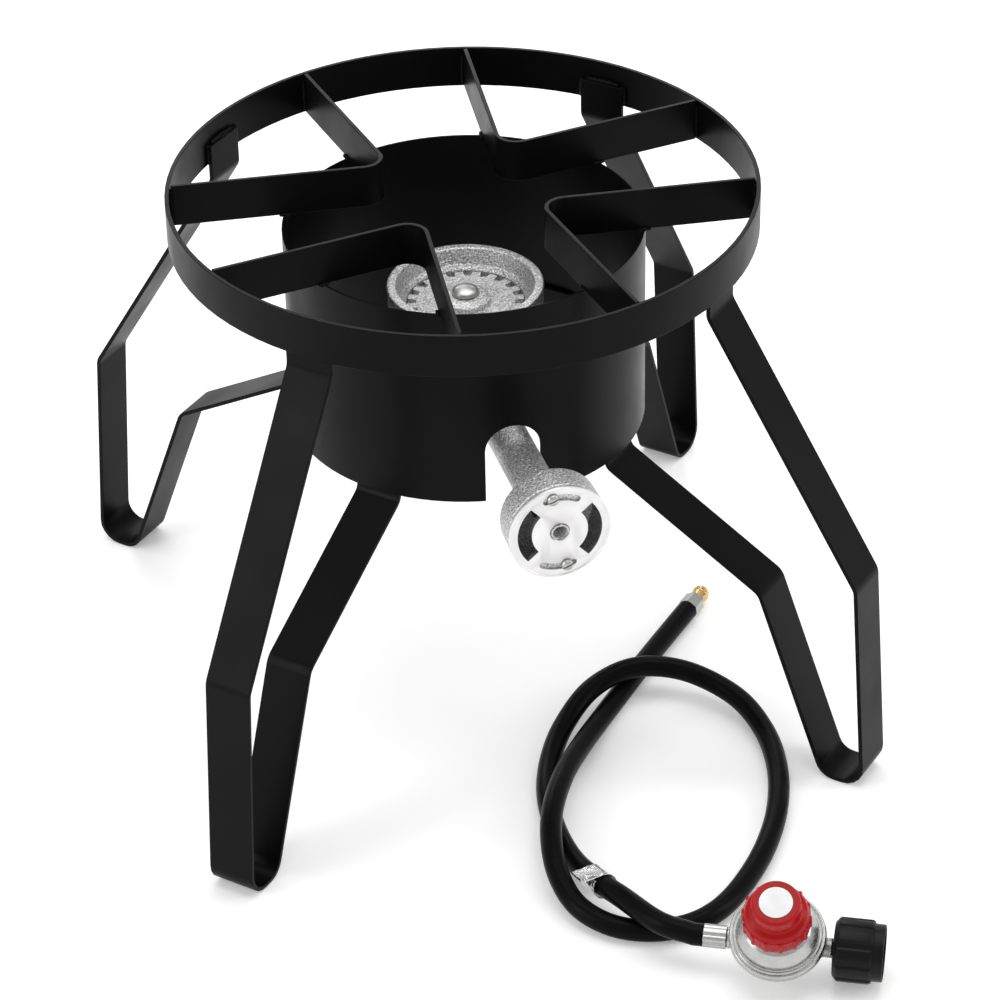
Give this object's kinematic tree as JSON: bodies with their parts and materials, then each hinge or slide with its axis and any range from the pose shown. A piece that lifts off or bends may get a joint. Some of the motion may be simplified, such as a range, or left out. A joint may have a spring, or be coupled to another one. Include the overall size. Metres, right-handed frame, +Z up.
{
  "type": "propane burner stand",
  "caption": "Low round steel stand on bent flat-bar legs, with V-shaped pot supports, wind shroud, cast gas burner with air shutter, and a loose hose with regulator.",
  "frame": {"origin": "on the floor under the middle of the top ring", "axes": "+Z up; -Y is the front, where the venturi tube leaves the shroud; +X is on the right, seen from the front"},
  "size_m": [0.4754, 0.684, 0.3851],
  "materials": {
    "black_powder_coat": "satin black powder coat",
    "cast_aluminium": "as cast, fine grain",
    "zinc": "bright zinc",
    "plated_steel": "zinc plated",
    "brass": "turned",
    "black_rubber": "smooth satin",
    "black_plastic": "moulded, fine grain",
    "red_plastic": "moulded, satin gloss",
    "white_label": "blank",
    "silver_foil": "creased foil tape"
  },
  "bodies": {
    "stand": {"top_ring": "black_powder_coat", "pot_support_1": "black_powder_coat", "pot_support_2": "black_powder_coat", "pot_support_3": "black_powder_coat", "pot_support_4": "black_powder_coat", "leg_back_right": "black_powder_coat", "leg_back_left": "black_powder_coat", "leg_front_left": "black_powder_coat", "leg_front_right": "black_powder_coat", "wind_shroud": "black_powder_coat", "burner_strap": "black_powder_coat", "burner_bowl": "cast_aluminium", "venturi_tube": "cast_aluminium", "mixer_bell": "cast_aluminium", "mixer_web": "cast_aluminium", "jet_boss": "cast_aluminium", "flame_ring": "cast_aluminium", "burner_bolt": "plated_steel", "burner_washer": "plated_steel", "burner_nut": "plated_steel", "shutter_screw_1": "plated_steel", "shutter_screw_2": "plated_steel", "hose": "black_rubber", "hose_tag": "silver_foil", "ferrule_burner_end": "zinc", "ferrule_regulator_end": "zinc", "orifice_fitting": "brass", "regulator_body": "zinc", "regulator_bonnet": "zinc", "diaphragm": "black_rubber", "diaphragm_plate": "plated_steel", "spring_seat": "plated_steel", "adjusting_spring": "plated_steel", "valve_lever": "plated_steel", "valve_plunger": "brass", "inlet_nipple": "brass", "nipple_seal": "black_rubber"},
    "air_shutter": {"air_shutter": "zinc"},
    "adjusting_knob": {"adjusting_knob": "red_plastic", "knob_label": "white_label"},
    "adjusting_screw": {"adjusting_screw": "plated_steel"},
    "hand_nut": {"hand_nut": "black_plastic"}
  },
  "joints": [
    {"name": "air_shutter_turn", "type": "hinge", "parent": "stand", "child": "air_shutter", "pos_m": [0.00532, -0.21764, 0.2423], "axis": [0.0244, -0.9997, 0], "range_deg": [-9.5, 36.5]},
    {"name": "adjusting_knob_turn", "type": "hinge", "parent": "stand", "child": "adjusting_knob", "pos_m": [0.09758, -0.40171, 0.02654], "axis": [-0.1719, -0.3686, 0.9135], "range_deg": [-1150, 0]},
    {"name": "adjusting_screw_travel", "type": "slide", "parent": "adjusting_knob", "child": "adjusting_screw", "axis": [0.1719, 0.3686, -0.9135], "range_m": [0, 0.004]},
    {"name": "hand_nut_spin", "type": "hinge", "parent": "stand", "child": "hand_nut", "pos_m": [0.14342, -0.42173, 0.0238], "axis": [0.9063, -0.4226, 0], "continuous": true}
  ],
  "couplings": [
    {"joint": "adjusting_screw_travel", "follows": "adjusting_knob_turn", "m_per_rad": -0.00019894}
  ]
}
